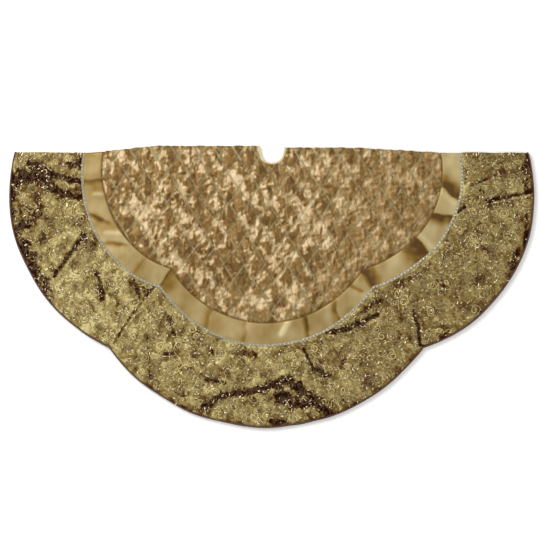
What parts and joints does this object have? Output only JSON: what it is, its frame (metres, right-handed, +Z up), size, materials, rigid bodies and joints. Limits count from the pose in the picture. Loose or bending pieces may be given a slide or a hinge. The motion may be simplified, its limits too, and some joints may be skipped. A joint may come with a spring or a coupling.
{
  "type": "tree skirt",
  "caption": "Round padded tree skirt with a scalloped velvet border, satin band and quilted centre, folded in half; the slit back opens out as two flaps.",
  "frame": {"origin": "centre of the trunk hole, on the surface that the folded skirt lies on", "axes": "+X along the fold to the right, -Y from the fold to the front edge, +Z up out of the upper face"},
  "size_m": [1.22, 0.64, 0.013],
  "materials": {
    "quilted_taffeta": "pintucked shiny taffeta, diamond quilted with metallic thread",
    "satin": "gold satin",
    "bead_trim": "small silver and champagne beads",
    "velvet": "crushed olive gold velvet with gold scroll embroidery",
    "hem": "narrow dark maroon hem",
    "binding": "turned satin edge",
    "lining": "plain matt weave",
    "batting": "polyester wadding",
    "hook_tape": "woven tape with hooks",
    "loop_tape": "woven tape with soft loops",
    "label": "blank woven label"
  },
  "bodies": {
    "front": {"front_quilted_panel": "quilted_taffeta", "front_batting": "batting", "front_lining": "lining", "front_satin_left": "satin", "front_satin_centre": "satin", "front_satin_right": "satin", "front_bead_trim_left": "bead_trim", "front_bead_trim_centre": "bead_trim", "front_bead_trim_right": "bead_trim", "front_velvet_left": "velvet", "front_velvet_centre": "velvet", "front_velvet_right": "velvet", "front_hem_left": "hem", "front_hem_centre": "hem", "front_hem_right": "hem", "front_hole_binding": "binding"},
    "back_left": {"back_left_quilted_panel": "quilted_taffeta", "back_left_batting": "batting", "back_left_lining": "lining", "back_left_satin_side": "satin", "back_left_satin_centre": "satin", "back_left_bead_trim_side": "bead_trim", "back_left_bead_trim_centre": "bead_trim", "back_left_velvet_side": "velvet", "back_left_velvet_centre": "velvet", "back_left_hem_side": "hem", "back_left_hem_centre": "hem", "back_left_hole_binding": "binding", "slit_facing": "lining", "hook_tapes": "hook_tape"},
    "back_right": {"back_right_quilted_panel": "quilted_taffeta", "back_right_batting": "batting", "back_right_lining": "lining", "back_right_satin_side": "satin", "back_right_satin_centre": "satin", "back_right_bead_trim_side": "bead_trim", "back_right_bead_trim_centre": "bead_trim", "back_right_velvet_side": "velvet", "back_right_velvet_centre": "velvet", "back_right_hem_side": "hem", "back_right_hem_centre": "hem", "back_right_hole_binding": "binding", "slit_placket": "lining", "loop_tapes": "loop_tape", "care_label": "label"}
  },
  "joints": [
    {"name": "fold_left", "type": "hinge", "parent": "front", "child": "back_left", "pos_m": [0, 0, 0.0065], "axis": [1, 0, 0], "range_deg": [0, 180]},
    {"name": "fold_right", "type": "hinge", "parent": "front", "child": "back_right", "pos_m": [0, 0, 0.0065], "axis": [1, 0, 0], "range_deg": [0, 180]}
  ]
}
